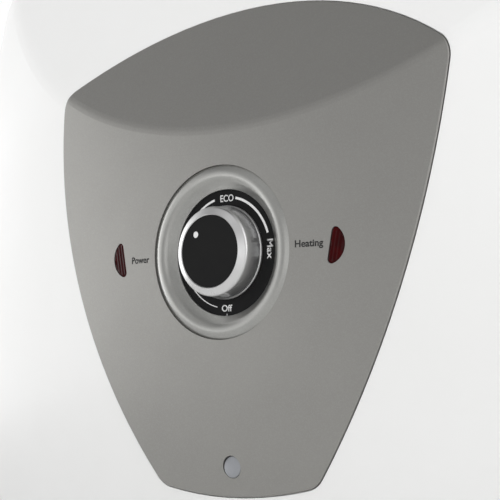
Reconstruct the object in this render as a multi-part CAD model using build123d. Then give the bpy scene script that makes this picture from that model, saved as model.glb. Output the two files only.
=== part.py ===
from build123d import *
import math
import os

# Compact wall-hung electric storage water heater.
# The wall is the plane y = 0, the front faces -Y, +Z is up.
# The origin is midway between the two hanging holes, on the wall.
# Most places are given as (x, depth, z): depth runs back from the bezel plane, z up from the knob axis.

os.makedirs("parts", exist_ok=True)

# ---- driving dimensions, millimetres ----

# Casing
casing_width = 446.0
casing_height = 446.0
casing_depth = 398.0        # wall to bezel plane
casing_corner = 62.0
casing_edge = 34.0          # rounding from front to sides
casing_crease = 30.0
casing_back_round = 4.0
seam_bevel = 0.4
casing_wall = 3.0
rear_length = 173.0         # wall to where the front shell meets the rear shell
back_gap = 6.0              # wall to the back of the rear shell
lip_length = 8.0
lip_wall = 2.0
lip_clearance = 0.2
knob_drop = 95.0            # hanging holes to knob axis

# Front form, shared by casing, cover and seal
dome_radius = 595.0
dome_rise = 2.1             # how far the dome stands in front of the bezel plane
facet_angle = 28.06         # sloped upper facet, from the vertical
facet_height = 59.4         # where the facet's middle meets the dome
facet_depth = 0.86

# Control cover
cover_wall = 2.5
cover_proud = 0.8
cover_gap = 0.5
cover_crease = 12.0
cover_round = 0.7
cover_top = 124.3
cover_bottom = -116.2
cover_top_radius = 220.0
cover_bottom_radius = 212.0
cover_side_radius = 354.0
cover_side_middle = (-233.3, 105.0)
cover_corner = 13.0
ledge_width = 14.0
ledge_wall = 3.0
ledge_margin = 4.0
seal_thickness = 1.0
seal_width = 8.0
seal_margin = 2.0
window_corner = 6.0

# Bezel, dial and knob
bezel_radius = 41.6
bezel_gap = 0.15
bezel_hole_round = 0.4
bezel_inner = 30.3
bezel_crown = 2.4           # where the ring's two slopes would meet, before rounding
bezel_crown_reach = 6.2
bezel_crown_round = 5.0
bezel_foot = 0.85           # ring's inner foot in front of the dial
bezel_groove = 0.3
dial_depth = 4.25
dial_thickness = 2.25
dial_hole = 4.0
well_wall = 2.5
well_floor = 2.5
well_hole = 14.0
knob_radius = 21.3
knob_flare = 1.1
knob_lip = 0.35
knob_front = 8.72           # rim's inner edge in front of the bezel plane
knob_rim_fall = 1.9         # from the rim's inner edge to its outer edge
knob_rim_round = 2.0
knob_lift = 0.4             # skirt to dial plate
knob_wall = 1.6
inlay_radius = 17.25
inlay_sink = 0.35
inlay_thickness = 1.2
dot_radius = 1.6
dot_reach = 11.9
dot_angle = 45.7            # anticlockwise from straight up, seen from the front
dot_sink = 0.25
spindle_radius = 3.0
spindle_length = 50.0
spindle_clearance = 0.05
spindle_front = -3.0
flat_depth = 1.0
spring_gap = 0.3
spring_wire = 0.6
spring_length = 3.0

# Lamps and cover screw
lens_x = 63.5               # middle of the lens's straight side
lens_width = 7.8
lens_curve = 9.3            # radius of the round side
lens_tip = 2.0
lens_lean = 10.5            # tops lean outwards
lens_clearance = 0.15
lens_sink = 0.35
lens_depth = 8.0
lens_flange = 1.5
lens_rim = 1.2
lens_rim_gap = 1.0          # behind the cover's wall
lamp_length = 9.0
holder_length = 16.0
holder_wall = 1.5
lamp_radius = 2.6
screw_drop = 101.8
cap_radius = 5.25
cap_clearance = 0.15
cap_thickness = 1.6
cap_sink = 0.25
socket_wall = 1.6
socket_depth = 7.5
screw_radius = 2.1
screw_head = 4.0
boss_wall = 1.2
boss_length = 14.0
socket_short = 0.5
head_seat_gap = 2.0
screw_head_height = 2.2
screw_length = 12.0

# Tank and flange
tank_gap = 37.0             # casing side to tank
tank_round = 90.0
tank_wall = 2.0
tank_front = 87.0
tank_back_gap = 38.0
ring_outer = 76.0
ring_inner = 52.0
ring_thickness = 12.0
stud_circle = 64.0
stud_radius = 4.0
stud_count = 6
stud_length = 17.0
nut_flats = 13.0
nut_thickness = 6.5
flange_radius = 74.0
flange_thickness = 6.0
gasket_thickness = 3.0
gasket_width = 6.0
weld_clearance = 0.05
fit_clearance = 0.3

# Heating, sensing and protection, as (x, z) on the flange
sleeve_place = (0.0, -31.0)
sleeve_radius = 19.5
sleeve_wall = 1.2
sleeve_end_gap = 59.0       # sleeve to the tank's back
core_radius = 16.5
core_segments = 6
core_lead_in = 4.0
core_end_gap = 9.8
core_gap = 2.0
core_slots = 8
spine_radius = 3.0
coil_radius = 2.2
coil_circle = 12.6
head_radius = 19.0
head_thickness = 12.0
pin_radius = 1.6
pin_length = 9.0
pin_spread = 8.0
pocket_place = (0.0, 12.0)
pocket_radius = 5.0
pocket_wall = 1.0
pocket_end_gap = 79.0       # pocket to the tank's back
stem_radius = 3.6
stem_end_gap = 5.0
stat_width = 40.0
stat_low = -9.0
stat_high = 37.0
stat_front = 34.0
stat_back = 62.0
bush_radius = 5.5
bush_length = 18.0
cutout_place = (34.0, 16.0)
cutout_width = 22.0
cutout_height = 30.0
cutout_length = 20.0
button_radius = 3.0
button_length = 9.0
button_clearance = 0.08
button_travel = 2.0
button_rise = 4.0           # standing out of the cut-out
button_drop = 6.0
anode_place = (-33.0, 18.0)
anode_radius = 10.5
anode_length = 160.0
anode_flats = 17.0
anode_head = 6.0
anode_neck = 4.0

# Pipes, hanger, gland
pipe_spacing = 100.0
pipe_offset = 46.5          # behind the tank's middle
pipe_radius = 10.65
thread_radius = 10.48       # G 1/2 male thread
thread_length = 16.0
pipe_bore = 8.0
pipe_reach = 24.0           # below the casing
hot_top_gap = 28.0          # hot pipe's mouth to the tank's top
cold_top_gap = 36.0         # cold pipe's mouth to the tank's bottom
diffuser_radius = 16.0
diffuser_wall = 1.5
diffuser_height = 22.0
diffuser_slot = 8.0
collar_radius = 15.5
collar_height = 7.0
collar_flange = 1.6
collar_wall = 1.2
collar_clearance = 0.2
collar_fit = 0.1
hanger_width = 260.0
hanger_low = -45.0
hanger_high = 20.0
hanger_thickness = 3.0
hang_spacing = 200.0
hang_radius = 4.5
post_x = 60.0
post_z = -25.0
post_radius = 9.0
recess_depth = 18.0
recess_margin = 12.0
hanger_corner = 8.0
bumper_radius = 10.0
bumper_inset = 73.0
bumper_rise = 43.0
bumper_stem = 3.0
gland_depth = 92.0
gland_thread = 8.0
gland_bore = 4.0
gland_flats = 22.0
gland_drop = 14.0
gland_rise = 9.0
gland_nut_thickness = 4.0
screw_inset = 11.0          # from where the casing's corner begins
casing_screw_radius = 2.0
casing_screw_head = 3.8
casing_screw_sink = 1.2

# Terminals and leads
block_width = 40.0
block_height = 17.0
block_thickness = 16.0
block_drop = 63.0
block_poles = 3
block_pitch = 12.0
lead_radius = 1.2
blade_width = 6.3
blade_thickness = 0.8
blade_length = 8.0
earth_place = (52.0, -16.0)
earth_radius = 4.0
earth_head = 3.0
trunk_width = 50.0
trunk_front = 50.0
trunk_depth = 60.0
foam_gap = 0.5

# ---- derived places ----
face_y = -casing_depth
knob_z = -knob_drop
casing_low = knob_z - casing_height / 2
tank_back = casing_depth - tank_back_gap
ring_front = tank_front - ring_thickness
gasket_front = ring_front - gasket_thickness
flange_front = gasket_front - flange_thickness
well_front = dial_depth + dial_thickness
well_back = well_front + well_floor
ledge_inset = cover_wall + seal_thickness
recess_back = back_gap + recess_depth
split_depth = casing_depth - rear_length
tank_radius = min(casing_width, casing_height) / 2 - tank_gap
hot_top = tank_radius - hot_top_gap
cold_top = cold_top_gap - tank_radius
pipe_depth = (tank_front + tank_back) / 2 + pipe_offset
screw_x = casing_width / 2 - casing_corner - screw_inset
bumper_x = casing_width / 2 - bumper_inset
bumper_drop = casing_height / 2 - bumper_rise
boss_hole = cap_radius + cap_clearance + socket_wall + fit_clearance
boss_radius = boss_hole + boss_wall
knob_base_radius = knob_radius + knob_flare
big = 900.0
ahead = -60.0               # in front of everything
behind = 60.0               # behind the cover, in front of the tank
over = 1.0                  # how far a cut runs past what it cuts


# ---- helpers ----

def at(x, depth, z):
    return Pos(x, face_y + depth, knob_z + z)


def rod(radius, front, back, x=0.0, z=0.0):
    return at(x, (front + back) / 2, z) * Rot(X=90) * Cylinder(radius, back - front)


def upright(radius, low, high, x, y):
    return Pos(x, y, (low + high) / 2) * Cylinder(radius, high - low)


def prism(sketch, front, back):
    plane = Plane(origin=(0, face_y + back, knob_z), x_dir=(1, 0, 0), z_dir=(0, -1, 0))
    return extrude(plane * sketch, amount=back - front)


def turned(points, rounding=(), x=0.0, z=0.0):
    # points are (radius, depth); rounding is (corner number, radius) pairs
    profile = make_face(Polyline(*points, close=True))
    for number, radius in rounding:
        corner = min(profile.vertices(), key=lambda v: (v.center() - Vector(*points[number])).length)
        profile = fillet(corner, radius)
    return at(x, 0, z) * revolve(profile, Axis.Y)


def hexagon(flats, front, back, x=0.0, z=0.0):
    return prism(Pos(x, z) * RegularPolygon(flats / 2, 6, major_radius=False), front, back)


def save(name, shape):
    shape.label = name
    export_step(shape, "parts/" + name + ".step")


def together(pieces):
    return Compound(children=[solid for piece in pieces for solid in piece.solids()])


# ---- front form: a dome cut by a sloped facet, with a rounded crease ----

def front_form(inset, crease):
    ball = at(0, dome_radius - dome_rise, 0) * Sphere(dome_radius - inset)
    block = Pos(0, face_y / 2 - 10, knob_z) * Box(big * 0.66, casing_depth + 20, big * 0.66)
    slope = math.radians(facet_angle)
    facet = Plane(origin=(0, face_y + facet_depth, knob_z + facet_height), x_dir=(1, 0, 0),
                  z_dir=(0, -math.cos(slope), math.sin(slope)))
    above = facet * Pos(0, 0, -inset) * Box(big, big, big / 2, align=(Align.CENTER, Align.CENTER, Align.MIN))
    form = ((block & ball) - above).solids()[0]
    return fillet(shared_edges(form), crease)


def shared_edges(form):
    sphere = form.faces().filter_by(GeomType.SPHERE)[0]
    flats = form.faces().filter_by(GeomType.PLANE)
    slopes = [f for f in flats if f.normal_at().Y < -0.5 and f.normal_at().Z > 0.3]
    return [e for e in slopes[0].edges() if touches(e, [sphere])]


def casing_block(inset):
    # inset is measured from the casing's outside
    outline = RectangleRounded(casing_width - 2 * inset, casing_height - 2 * inset, casing_corner - inset)
    form = front_form(cover_proud + inset, casing_crease - inset)
    block = (prism(outline, -20, casing_depth - back_gap) & form).solids()[0]
    front_faces = [f for f in block.faces() if is_front(f)]
    side_faces = [f for f in block.faces() if not is_front(f) and abs(f.normal_at().Y) < 0.05]
    rim = [e for e in block.edges() if touches(e, front_faces) and touches(e, side_faces)]
    return fillet(rim, casing_edge - inset)


def is_front(face):
    return face.geom_type in (GeomType.SPHERE, GeomType.TORUS) or face.normal_at().Y < -0.5


def touches(edge, faces):
    return any(edge.is_same(other) for face in faces for other in face.edges())


# ---- cover outline: four arcs, grown or shrunk together ----

def outline(grow, corner):
    side_x, side_z = cover_side_middle
    top = Pos(0, cover_top - cover_top_radius) * Circle(cover_top_radius + grow)
    bottom = Pos(0, cover_bottom + cover_bottom_radius) * Circle(cover_bottom_radius + grow)
    right = Pos(side_x, side_z) * Circle(cover_side_radius + grow)
    left = Pos(-side_x, side_z) * Circle(cover_side_radius + grow)
    shape = top & bottom & right & left
    return fillet(shape.vertices(), corner)


def dome_at(x, z):
    # depth of the cover's outer surface below the crease
    return dome_radius - dome_rise - math.sqrt(dome_radius ** 2 - x ** 2 - z ** 2)


def lens_shape(side, grow):
    reach = lens_width + 2 * grow
    round_side = Pos(side * (lens_width - lens_curve), 0) * Circle(lens_curve + grow)
    half = round_side & Pos(side * (reach / 2 - grow), 0) * Rectangle(reach, 2 * (lens_curve + grow))
    return Pos(side * lens_x, 0) * Rot(Z=-side * lens_lean) * fillet(half.vertices(), lens_tip + grow)


def lead_path(points):
    # tangent arcs as large as each pair of runs allows
    places = [Vector(x, face_y + depth, knob_z + z) for x, depth, z in points]
    radii = []
    for before, here, after in zip(places, places[1:], places[2:]):
        turn = math.radians((here - before).get_angle(after - here))
        shorter = min((here - before).length, (after - here).length)
        radii.append(0.45 * shorter / math.tan(turn / 2))
    print("lead radii", [round(r, 1) for r in radii])
    return FilletPolyline(*places, radius=radii)


def lead(points):
    path = lead_path(points)
    section = Plane(origin=path @ 0, z_dir=path % 0) * Circle(lead_radius)
    return sweep(section, path)


# ---- casing ----

casing_outer = casing_block(0)
back_rim = [e for e in casing_outer.edges() if e.bounding_box().min.Y > -back_gap - 0.01]
casing_outer = fillet(back_rim, casing_back_round)
casing_inner = casing_block(casing_wall)
front_zone = prism(Rectangle(big, big), ahead, split_depth)
rear_zone = prism(Rectangle(big, big), split_depth, casing_depth)
window = prism(outline(-ledge_width, window_corner), ahead, behind)
cover_zone = prism(outline(cover_gap, cover_corner + cover_gap), ahead, behind)
below_ledge = front_form(ledge_inset + ledge_wall, cover_crease - ledge_inset)

ledge_zone = prism(outline(ledge_margin, cover_corner + ledge_margin), ahead, behind)
recess_wall = (casing_outer - below_ledge) & (ledge_zone - cover_zone)
ledge = (front_form(ledge_inset, cover_crease - ledge_inset) - below_ledge) & (ledge_zone - window)
boss_front = dome_at(0, -screw_drop) + ledge_inset + over
boss = rod(boss_radius, boss_front, boss_front + boss_length, 0, -screw_drop)
boss = boss & front_form(ledge_inset, cover_crease - ledge_inset)
boss_relief = rod(boss_hole, ahead, dome_at(0, -screw_drop) + socket_depth, 0, -screw_drop)
shell_walls = casing_outer - casing_inner
front_shell = (shell_walls & front_zone) - cover_zone + recess_wall + ledge + boss - boss_relief
front_shell -= rod(screw_radius + weld_clearance, 0, boss_front + boss_length + 1, 0, -screw_drop)
gland_y = face_y + gland_depth
front_shell -= upright(gland_thread + fit_clearance, casing_low - over,
                       casing_low + casing_wall + over, 0, gland_y)

lip_sketch = RectangleRounded(casing_width - 2 * casing_wall, casing_height - 2 * casing_wall,
                              casing_corner - casing_wall)
lip_shrink = casing_wall + lip_clearance
lip_outer = RectangleRounded(casing_width - 2 * lip_shrink, casing_height - 2 * lip_shrink,
                             casing_corner - lip_shrink)
lip_deep = lip_shrink + lip_wall
lip_inner = RectangleRounded(casing_width - 2 * lip_deep, casing_height - 2 * lip_deep,
                             casing_corner - lip_deep)
seam_sketch = RectangleRounded(casing_width, casing_height, casing_corner)
seam = seam_sketch - RectangleRounded(casing_width - 2 * seam_bevel, casing_height - 2 * seam_bevel,
                                      casing_corner - seam_bevel)
front_shell -= prism(seam, split_depth - seam_bevel, split_depth + over)
lip = prism(lip_outer - lip_inner, split_depth - lip_length, split_depth + lip_length)
lip += prism(lip_sketch - lip_inner, split_depth, split_depth + lip_length)

recess_width = hanger_width + 2 * recess_margin
recess_height = hanger_high - hanger_low + 2 * recess_margin
recess_z = (hanger_high + hanger_low) / 2
recess = Pos(0, -recess_back / 2, recess_z) * Box(recess_width, recess_back, recess_height)
recess_box = Pos(0, -(recess_back + casing_wall) / 2, recess_z) * Box(
    recess_width + 2 * casing_wall, recess_back + casing_wall, recess_height + 2 * casing_wall)
back_panel = prism(lip_sketch, casing_depth - back_gap - casing_wall, casing_depth - back_gap)
inside_back = prism(Rectangle(big, big), 0, casing_depth - back_gap)
rear_shell = (shell_walls & rear_zone) + back_panel + lip + (recess_box & inside_back) - recess
post_places = [(-post_x, post_z), (post_x, post_z)]
pipe_y = face_y + pipe_depth
pipe_places = [-pipe_spacing / 2, pipe_spacing / 2]
bumper_places = [(-bumper_x, -bumper_drop), (bumper_x, -bumper_drop)]
for x, z in post_places:
    rear_shell -= Pos(x, -recess_back, z) * Rot(X=90) * Cylinder(
        post_radius + fit_clearance, 4 * casing_wall)
for x in pipe_places:
    pipe_hole = pipe_radius + collar_clearance + collar_wall + collar_fit
    rear_shell -= upright(pipe_hole, casing_low - over, casing_low + casing_wall + over, x, pipe_y)
for x, z in bumper_places:
    rear_shell -= rod(bumper_stem + weld_clearance, casing_depth - back_gap - casing_wall - 1,
                      casing_depth, x, z)

# Casing screws go through the front shell into the rear shell's lip, two from above and two from below.
screw_depth = split_depth - lip_length / 2
screw_y = face_y + screw_depth
screw_places = [(x, end) for x in (-screw_x, screw_x) for end in (-1, 1)]
screws = []
for x, end in screw_places:
    surface = knob_z + end * casing_height / 2
    inward = -end
    shank_end = surface + inward * (casing_wall + lip_clearance + lip_wall)
    head_end = surface + inward * casing_screw_sink
    head = upright(casing_screw_head, min(surface, head_end), max(surface, head_end), x, screw_y)
    shank = upright(casing_screw_radius, min(surface, shank_end), max(surface, shank_end), x, screw_y)
    screws.append(head + shank)
    front_shell -= upright(casing_screw_head + weld_clearance, min(surface, head_end) - 0.001,
                           max(surface, head_end) + 0.001, x, screw_y)
    passage = upright(casing_screw_radius + weld_clearance, min(surface, shank_end) - 1,
                      max(surface, shank_end) + 1, x, screw_y)
    front_shell -= passage
    rear_shell -= passage

save("front_shell", front_shell)
save("rear_shell", rear_shell)
save("shell_screws", together(screws))

# ---- tank, ring and flange ----

def drum(radius, front, back, rounding):
    body = rod(radius, front, back)
    return fillet(body.edges().filter_by(GeomType.CIRCLE), rounding)


tank_outer = drum(tank_radius, tank_front, tank_back, tank_round)
tank_inner = drum(tank_radius - tank_wall, tank_front + tank_wall, tank_back - tank_wall,
                  tank_round - tank_wall)
tank = tank_outer - tank_inner - rod(ring_inner, tank_front - 1, tank_front + tank_wall + 1)
pipe_low = casing_low - pipe_reach
for x in pipe_places:
    tank -= upright(pipe_radius + weld_clearance, pipe_low, knob_z, x, pipe_y)
tank_ring = rod(ring_outer, ring_front, tank_front) - rod(ring_inner, ring_front - 1, tank_front + 1)
stud_places = []
for number in range(stud_count):
    angle = 2 * math.pi * number / stud_count
    stud_places.append((stud_circle * math.cos(angle), stud_circle * math.sin(angle)))
studs = [rod(stud_radius, ring_front - stud_length, ring_front, x, z) for x, z in stud_places]
nut_hole = stud_radius + weld_clearance
nuts = [hexagon(nut_flats, flange_front - nut_thickness, flange_front, x, z)
        - rod(nut_hole, flange_front - nut_thickness - 1, flange_front + 1, x, z) for x, z in stud_places]
gasket = rod(ring_inner + gasket_width, gasket_front, ring_front)
gasket -= rod(ring_inner, gasket_front - 1, ring_front + 1)
flange = rod(flange_radius, flange_front, gasket_front)
for x, z in stud_places:
    flange -= rod(stud_radius + fit_clearance, flange_front - 1, gasket_front + 1, x, z)
flange -= rod(sleeve_radius + weld_clearance, flange_front - 1, gasket_front + 1, *sleeve_place)
flange -= rod(pocket_radius + weld_clearance, flange_front - 1, gasket_front + 1, *pocket_place)
flange -= rod(anode_neck + weld_clearance, flange_front - 1, gasket_front + 1, *anode_place)

save("tank", tank)
save("tank_ring", tank_ring)
save("ring_studs", together(studs))
save("flange_nuts", together(nuts))
save("flange_gasket", gasket)
save("flange_plate", flange)

# ---- dry ceramic element ----

sleeve_back = tank_back - sleeve_end_gap
sleeve = rod(sleeve_radius, flange_front, sleeve_back, *sleeve_place)
sleeve -= rod(sleeve_radius - sleeve_wall, flange_front - 1, sleeve_back - sleeve_wall, *sleeve_place)
core_front = gasket_front + core_lead_in
core_room = sleeve_back - sleeve_wall - core_end_gap - core_front
core_segment = (core_room + core_gap) / core_segments - core_gap
segments = []
for number in range(core_segments):
    front = core_front + number * (core_segment + core_gap)
    segment = rod(core_radius, front, front + core_segment, *sleeve_place)
    for slot in range(core_slots):
        angle = 2 * math.pi * slot / core_slots
        slot_x = sleeve_place[0] + coil_circle * math.cos(angle)
        slot_z = sleeve_place[1] + coil_circle * math.sin(angle)
        segment -= rod(coil_radius + fit_clearance, front - 1, front + core_segment + 1, slot_x, slot_z)
    segments.append(segment)
core_back = core_front + core_segments * (core_segment + core_gap) - core_gap
spine = rod(spine_radius, core_front, core_back, *sleeve_place)
core = segments[0]
for segment in segments[1:]:
    core += segment
core += spine
coils = []
for slot in range(core_slots):
    angle = 2 * math.pi * slot / core_slots
    slot_x = sleeve_place[0] + coil_circle * math.cos(angle)
    slot_z = sleeve_place[1] + coil_circle * math.sin(angle)
    coils.append(rod(coil_radius, core_front + 1, core_back - 1, slot_x, slot_z))
head = rod(head_radius, flange_front - head_thickness, flange_front, *sleeve_place)
plug_radius = sleeve_radius - sleeve_wall - fit_clearance
head += rod(plug_radius, flange_front, core_front, *sleeve_place)
pin_front = flange_front - head_thickness - pin_length
pins = []
for side in (-1, 1):
    pin_x = sleeve_place[0] + side * pin_spread
    pins.append(rod(pin_radius, pin_front, flange_front, pin_x, sleeve_place[1]))
    head -= rod(pin_radius, pin_front, flange_front, pin_x, sleeve_place[1])

save("element_sleeve", sleeve)
save("ceramic_core", core)
save("heating_coils", together(coils))
save("element_head", head)
save("element_pins", together(pins))

# ---- thermostat, cut-out and anode ----

pocket_back = tank_back - pocket_end_gap
pocket = rod(pocket_radius, flange_front, pocket_back, *pocket_place)
pocket -= rod(pocket_radius - pocket_wall, flange_front - 1, pocket_back - pocket_wall, *pocket_place)
stem = rod(stem_radius, stat_back, pocket_back - pocket_wall - stem_end_gap, *pocket_place)
stat_middle = (stat_low + stat_high) / 2
stat_box = Pos(0, stat_middle) * RectangleRounded(stat_width, stat_high - stat_low, 3)
stat_body = prism(stat_box, stat_front, stat_back)
spindle_hole = spindle_radius + spindle_clearance
spindle_back = spindle_front + spindle_length
stat_body -= rod(spindle_hole, stat_front - 1, spindle_back + 1)
bush = rod(bush_radius, stat_front - bush_length, stat_front)
bush -= rod(spindle_hole, stat_front - bush_length - 1, stat_front + 1)
spindle = rod(spindle_radius, spindle_front, spindle_back)
spindle -= at(0, (spindle_front + dial_depth) / 2, -spindle_radius) * Box(
    2 * spindle_radius, dial_depth - spindle_front, 2 * flat_depth)


def blade(x, front, z, upright_blade):
    width = blade_thickness if upright_blade else blade_width
    height = blade_width if upright_blade else blade_thickness
    return prism(Pos(x, z) * Rectangle(width, height), front - blade_length, front)


stat_blade_z = 30.0
stat_blade_x = 12.0
stat_blades = [blade(side * stat_blade_x, stat_front, stat_blade_z, True) for side in (-1, 1)]
cutout_x, cutout_z = cutout_place
cutout_front = flange_front - cutout_length
cutout_sketch = Pos(cutout_x, cutout_z) * RectangleRounded(cutout_width, cutout_height, 2)
button_z = cutout_z - button_drop
button_back = cutout_front + button_length - button_rise
cutout_body = prism(cutout_sketch, cutout_front, flange_front)
cutout_body -= rod(button_radius + button_clearance, cutout_front - 1, button_back + button_travel + 0.5,
                   cutout_x, button_z)
button = rod(button_radius, button_back - button_length, button_back, cutout_x, button_z)
cutout_blade_z = cutout_z + 9.0
cutout_blades = [blade(cutout_x + side * 6.0, cutout_front, cutout_blade_z, True) for side in (-1, 1)]
anode_x, anode_z = anode_place
anode_front = gasket_front + 6.0
anode = rod(anode_radius, anode_front, anode_front + anode_length, anode_x, anode_z)
holder = hexagon(anode_flats, flange_front - anode_head, flange_front, anode_x, anode_z)
holder += rod(anode_neck, flange_front, anode_front, anode_x, anode_z)

save("stat_pocket", pocket)
save("stat_stem", stem)
save("stat_body", stat_body)
save("stat_bush", bush)
save("stat_blades", together(stat_blades))
save("spindle", spindle)
save("cutout_body", cutout_body)
save("cutout_blades", together(cutout_blades))
save("reset_button", button)
save("anode_rod", anode)
save("anode_holder", holder)

# ---- pipes ----

def pipe(x, top):
    body = upright(pipe_radius, pipe_low + thread_length, knob_z + top, x, pipe_y)
    body += upright(thread_radius, pipe_low, pipe_low + thread_length, x, pipe_y)
    return body - upright(pipe_bore, pipe_low - 1, knob_z + top + 1, x, pipe_y)


def collar(x):
    ring_low = casing_low - collar_flange
    ring = upright(collar_radius, ring_low, casing_low, x, pipe_y)
    hole = pipe_radius + collar_clearance
    ring += upright(hole + collar_wall, casing_low, casing_low + collar_height, x, pipe_y)
    return ring - upright(hole, ring_low - over, casing_low + collar_height + over, x, pipe_y)


cold_x, hot_x = pipe_spacing / 2, -pipe_spacing / 2
diffuser_top = knob_z + cold_top + diffuser_height
diffuser = upright(diffuser_radius, knob_z + cold_top, diffuser_top, cold_x, pipe_y)
diffuser -= upright(diffuser_radius - diffuser_wall, knob_z + cold_top + diffuser_wall,
                    diffuser_top - diffuser_wall, cold_x, pipe_y)
diffuser -= upright(pipe_bore, knob_z + cold_top - 1, knob_z + cold_top + diffuser_wall + 1, cold_x, pipe_y)
slot_middle = (knob_z + cold_top + diffuser_top) / 2
for turn in (0, 90):
    diffuser -= Pos(cold_x, pipe_y, slot_middle) * Rot(Z=turn) * Box(
        3 * diffuser_radius, diffuser_slot, diffuser_slot)

save("cold_pipe", pipe(cold_x, cold_top))
save("hot_pipe", pipe(hot_x, hot_top))
save("cold_collar", collar(cold_x))
save("hot_collar", collar(hot_x))
save("cold_diffuser", diffuser)

# ---- hanger and bumpers ----

posts = []
for x, z in post_places:
    front_y = face_y + tank_back
    length = -hanger_thickness - front_y
    posts.append(Pos(x, front_y + length / 2, z) * Rot(X=90) * Cylinder(post_radius, length))
hanger_sketch = RectangleRounded(hanger_width, hanger_high - hanger_low, hanger_corner)
hanger_sketch = Pos(0, recess_z - knob_z) * hanger_sketch
hanger = prism(hanger_sketch, casing_depth - hanger_thickness, casing_depth)
for side in (-1, 1):
    hanger -= rod(hang_radius, casing_depth - hanger_thickness - 1, casing_depth + 1,
                  side * hang_spacing / 2, -knob_z)
bumpers = []
for x, z in bumper_places:
    inner_face = casing_depth - back_gap - casing_wall
    bumper = rod(bumper_radius, casing_depth - back_gap, casing_depth, x, z)
    bumpers.append(bumper + rod(bumper_stem, inner_face, casing_depth - back_gap, x, z))

save("hanger_posts", together(posts))
save("hanger_plate", hanger)
save("wall_bumpers", together(bumpers))

# ---- foam ----

foam_body = casing_block(casing_wall + foam_gap)
compartment = prism(outline(-ledge_width, window_corner), ahead, tank_front + over)
ledge_clearance = prism(outline(ledge_margin + foam_gap, cover_corner + ledge_margin), ahead, behind)
ledge_clearance -= front_form(ledge_inset + ledge_wall + foam_gap, cover_crease - ledge_inset)
ring_room = rod(ring_outer + foam_gap, flange_front - 12, tank_front + 1)
boss_room = rod(boss_radius + foam_gap, 0, boss_front + boss_length + foam_gap, 0, -screw_drop)
trunk_low = -casing_height / 2
trunk_bend = cover_bottom - ledge_width - gland_flats
trunk_high = cover_bottom + ledge_width + gland_flats
trunk = prism(Pos(0, (trunk_low + trunk_bend) / 2) * Rectangle(trunk_width, trunk_bend - trunk_low),
              trunk_front, trunk_front + trunk_depth)
trunk += prism(Pos(0, (trunk_bend + trunk_high) / 2) * Rectangle(trunk_width, trunk_high - trunk_bend),
               trunk_front, tank_front + over)
tank_room = drum(tank_radius + foam_gap, tank_front - foam_gap, tank_back + foam_gap, tank_round + foam_gap)
front_foam = foam_body & prism(Rectangle(big, big), ahead, split_depth - lip_length - foam_gap)
front_foam = front_foam - tank_room - compartment - ledge_clearance - ring_room - boss_room - trunk
rear_inset = lip_deep + foam_gap
rear_sketch = RectangleRounded(casing_width - 2 * rear_inset, casing_height - 2 * rear_inset,
                               casing_corner - rear_inset)
rear_foam = prism(rear_sketch, split_depth - lip_length, casing_depth - back_gap - casing_wall - foam_gap)
recess_room = Pos(0, -(recess_back + casing_wall + foam_gap) / 2, recess_z) * Box(
    recess_width + 2 * (casing_wall + foam_gap), recess_back + casing_wall + foam_gap,
    recess_height + 2 * (casing_wall + foam_gap))
rear_foam = rear_foam - tank_room - recess_room
for x, z in post_places:
    rear_foam -= Pos(x, -recess_back - 10, z) * Rot(X=90) * Cylinder(post_radius + foam_gap, 60)
for x in pipe_places:
    rear_foam -= upright(collar_radius, pipe_low, knob_z - tank_radius / 2, x, pipe_y)

save("front_foam", front_foam)
save("rear_foam", rear_foam)

# ---- control cover, seal, screw and cap ----

cover_outer = front_form(0, cover_crease)
cover_inner = front_form(cover_wall, cover_crease - cover_wall)
cover_body = prism(outline(0, cover_corner), ahead, behind)
cover = (cover_outer - cover_inner) & cover_body
well = rod(bezel_radius + bezel_gap + well_wall, -10, well_back) & cover_outer
socket_radius = cap_radius + cap_clearance + socket_wall
socket_surface = dome_at(0, -screw_drop)
socket = rod(socket_radius, 0, socket_surface + socket_depth - socket_short, 0, -screw_drop) & cover_outer
cover_rim = [e for e in cover.edges() if touches(e, [f for f in cover.faces() if is_front(f)])
             and touches(e, [f for f in cover.faces() if abs(f.normal_at().Y) < 0.05])]
cover = fillet(cover_rim, cover_round) + well + socket
cover -= rod(bezel_radius + bezel_gap, ahead, well_front)
hole_rim = cover.edges().filter_by(GeomType.CIRCLE)
hole_rim = [e for e in hole_rim if abs(e.radius - bezel_radius - bezel_gap) < 0.01]
cover = fillet(min(hole_rim, key=lambda e: e.center().Y), bezel_hole_round)
cover -= rod(well_hole, 0, well_back + 1)
head_seat = socket_surface + socket_depth - head_seat_gap
cover -= rod(cap_radius + cap_clearance, ahead, head_seat, 0, -screw_drop)
cover -= rod(screw_radius + fit_clearance, 0, behind, 0, -screw_drop)
for side in (-1, 1):
    cover -= prism(lens_shape(side, lens_clearance), ahead, behind)
seal_ring = outline(-seal_margin, cover_corner - seal_margin)
seal_ring -= outline(-seal_margin - seal_width, window_corner)
seal = cover_inner - front_form(ledge_inset, cover_crease - ledge_inset)
seal = seal & prism(seal_ring, ahead, behind)
seal -= rod(socket_radius + fit_clearance, ahead, behind, 0, -screw_drop)
cover_screw = rod(screw_head, head_seat - screw_head_height, head_seat, 0, -screw_drop)
cover_screw += rod(screw_radius, head_seat, head_seat + screw_length, 0, -screw_drop)
cap_front = socket_surface + cap_sink
cap = rod(cap_radius, cap_front, cap_front + cap_thickness, 0, -screw_drop)
cap = fillet(cap.edges().sort_by(Axis.Y)[0], 0.5)

save("control_cover", cover)
save("cover_seal", seal)
save("cover_screw", cover_screw)
save("screw_cap", cap)

# ---- lamps ----

lens_surface = dome_at(lens_x + lens_width, 0)
holder_front = lens_surface + cover_wall + lens_rim_gap + lens_rim


def lens(side):
    body = prism(lens_shape(side, 0), lens_surface - 3, lens_surface + lens_depth)
    body = body & front_form(lens_sink, cover_crease)
    rim = prism(lens_shape(side, lens_flange), holder_front - lens_rim, holder_front)
    return body + rim


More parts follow.
